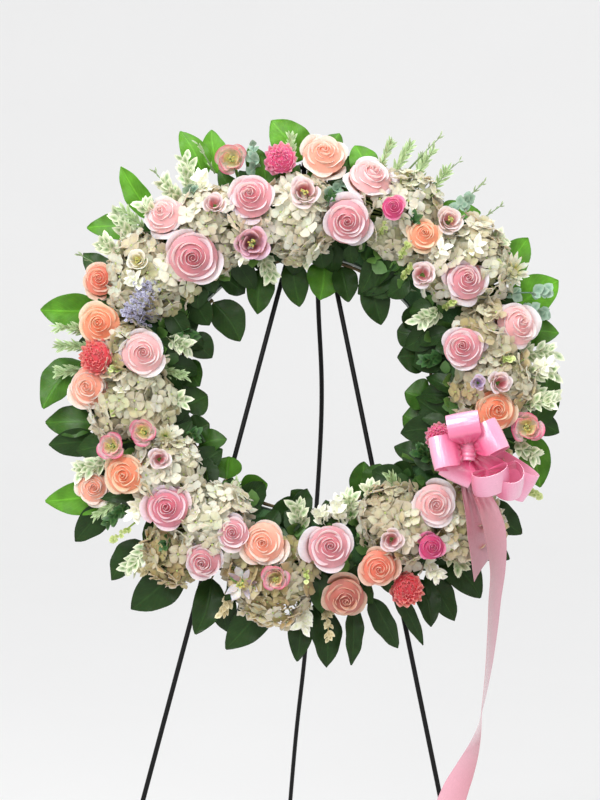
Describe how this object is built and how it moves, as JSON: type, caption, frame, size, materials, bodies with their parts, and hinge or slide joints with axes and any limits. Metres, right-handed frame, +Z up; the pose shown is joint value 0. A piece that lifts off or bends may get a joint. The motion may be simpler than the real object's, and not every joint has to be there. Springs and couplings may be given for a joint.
{
  "type": "funeral wreath on a wire easel",
  "caption": "Round wreath of roses, hydrangea and salal leaves with a satin bow and trailing ribbon, resting on the hooks of a folding three-legged wire easel.",
  "frame": {"origin": "on the floor, under the middle of the whole object's bounding box", "axes": "+Z up, +X to the right seen from the front, -Y towards the viewer in front, +Y towards the rear leg"},
  "size_m": [0.6468, 0.5998, 1.2205],
  "materials": {
    "black_wire": "satin",
    "green_plastic": "matte",
    "wet_foam": "matte",
    "rose_blush": "matte",
    "rose_peach": "matte",
    "rose_pink": "matte",
    "rose_deep": "matte",
    "rose_coral": "matte",
    "hydrangea_cream": "matte",
    "salal_leaf": "satin",
    "satin_ribbon": "satin"
  },
  "bodies": {
    "wreath_and_front_legs": {"front_leg_left": "black_wire", "front_leg_right": "black_wire", "hinge_pin": "black_wire", "leg_stop": "black_wire", "top_hook": "black_wire", "ledge_hook_left": "black_wire", "ledge_hook_right": "black_wire", "ring_tray": "green_plastic", "foam_ring": "wet_foam", "rose_01": "rose_peach", "rose_02": "rose_blush", "rose_03": "rose_pink", "rose_04": "rose_pink", "rose_05": "rose_blush", "rose_06": "rose_pink", "rose_07": "rose_coral", "rose_08": "rose_peach", "rose_09": "rose_blush", "rose_10": "rose_blush", "rose_11": "rose_peach", "rose_12": "rose_deep", "rose_13": "rose_pink", "rose_14": "rose_pink", "rose_15": "rose_deep", "rose_16": "rose_coral", "rose_17": "rose_blush", "rose_18": "rose_peach", "rose_19": "rose_pink", "rose_20": "rose_blush", "rose_21": "rose_pink", "hydrangea_01": "hydrangea_cream", "hydrangea_02": "hydrangea_cream", "hydrangea_03": "hydrangea_cream", "hydrangea_04": "hydrangea_cream", "hydrangea_05": "hydrangea_cream", "hydrangea_06": "hydrangea_cream", "hydrangea_07": "hydrangea_cream", "hydrangea_08": "hydrangea_cream", "hydrangea_09": "hydrangea_cream", "hydrangea_10": "hydrangea_cream", "hydrangea_11": "hydrangea_cream", "hydrangea_12": "hydrangea_cream", "salal_top_left": "salal_leaf", "salal_left": "salal_leaf", "salal_bottom_left": "salal_leaf", "salal_bottom_right": "salal_leaf", "salal_right": "salal_leaf", "salal_inner_top": "salal_leaf", "salal_inner_left": "salal_leaf", "salal_inner_bottom": "salal_leaf", "salal_inner_right": "salal_leaf", "bow_knot": "satin_ribbon", "bow_loop_top": "satin_ribbon", "bow_loop_left": "satin_ribbon", "bow_loop_right": "satin_ribbon", "bow_loop_low": "satin_ribbon", "bow_loop_low_right": "satin_ribbon", "ribbon_tail_long": "satin_ribbon", "ribbon_tail_short": "satin_ribbon"},
    "rear_leg": {"rear_leg": "black_wire"}
  },
  "joints": [
    {"name": "rear_leg_fold", "type": "hinge", "parent": "wreath_and_front_legs", "child": "rear_leg", "pos_m": [0.00671, -0.06267, 1.16839], "axis": [1, 0, 0], "range_deg": [-24.5, 0]}
  ]
}
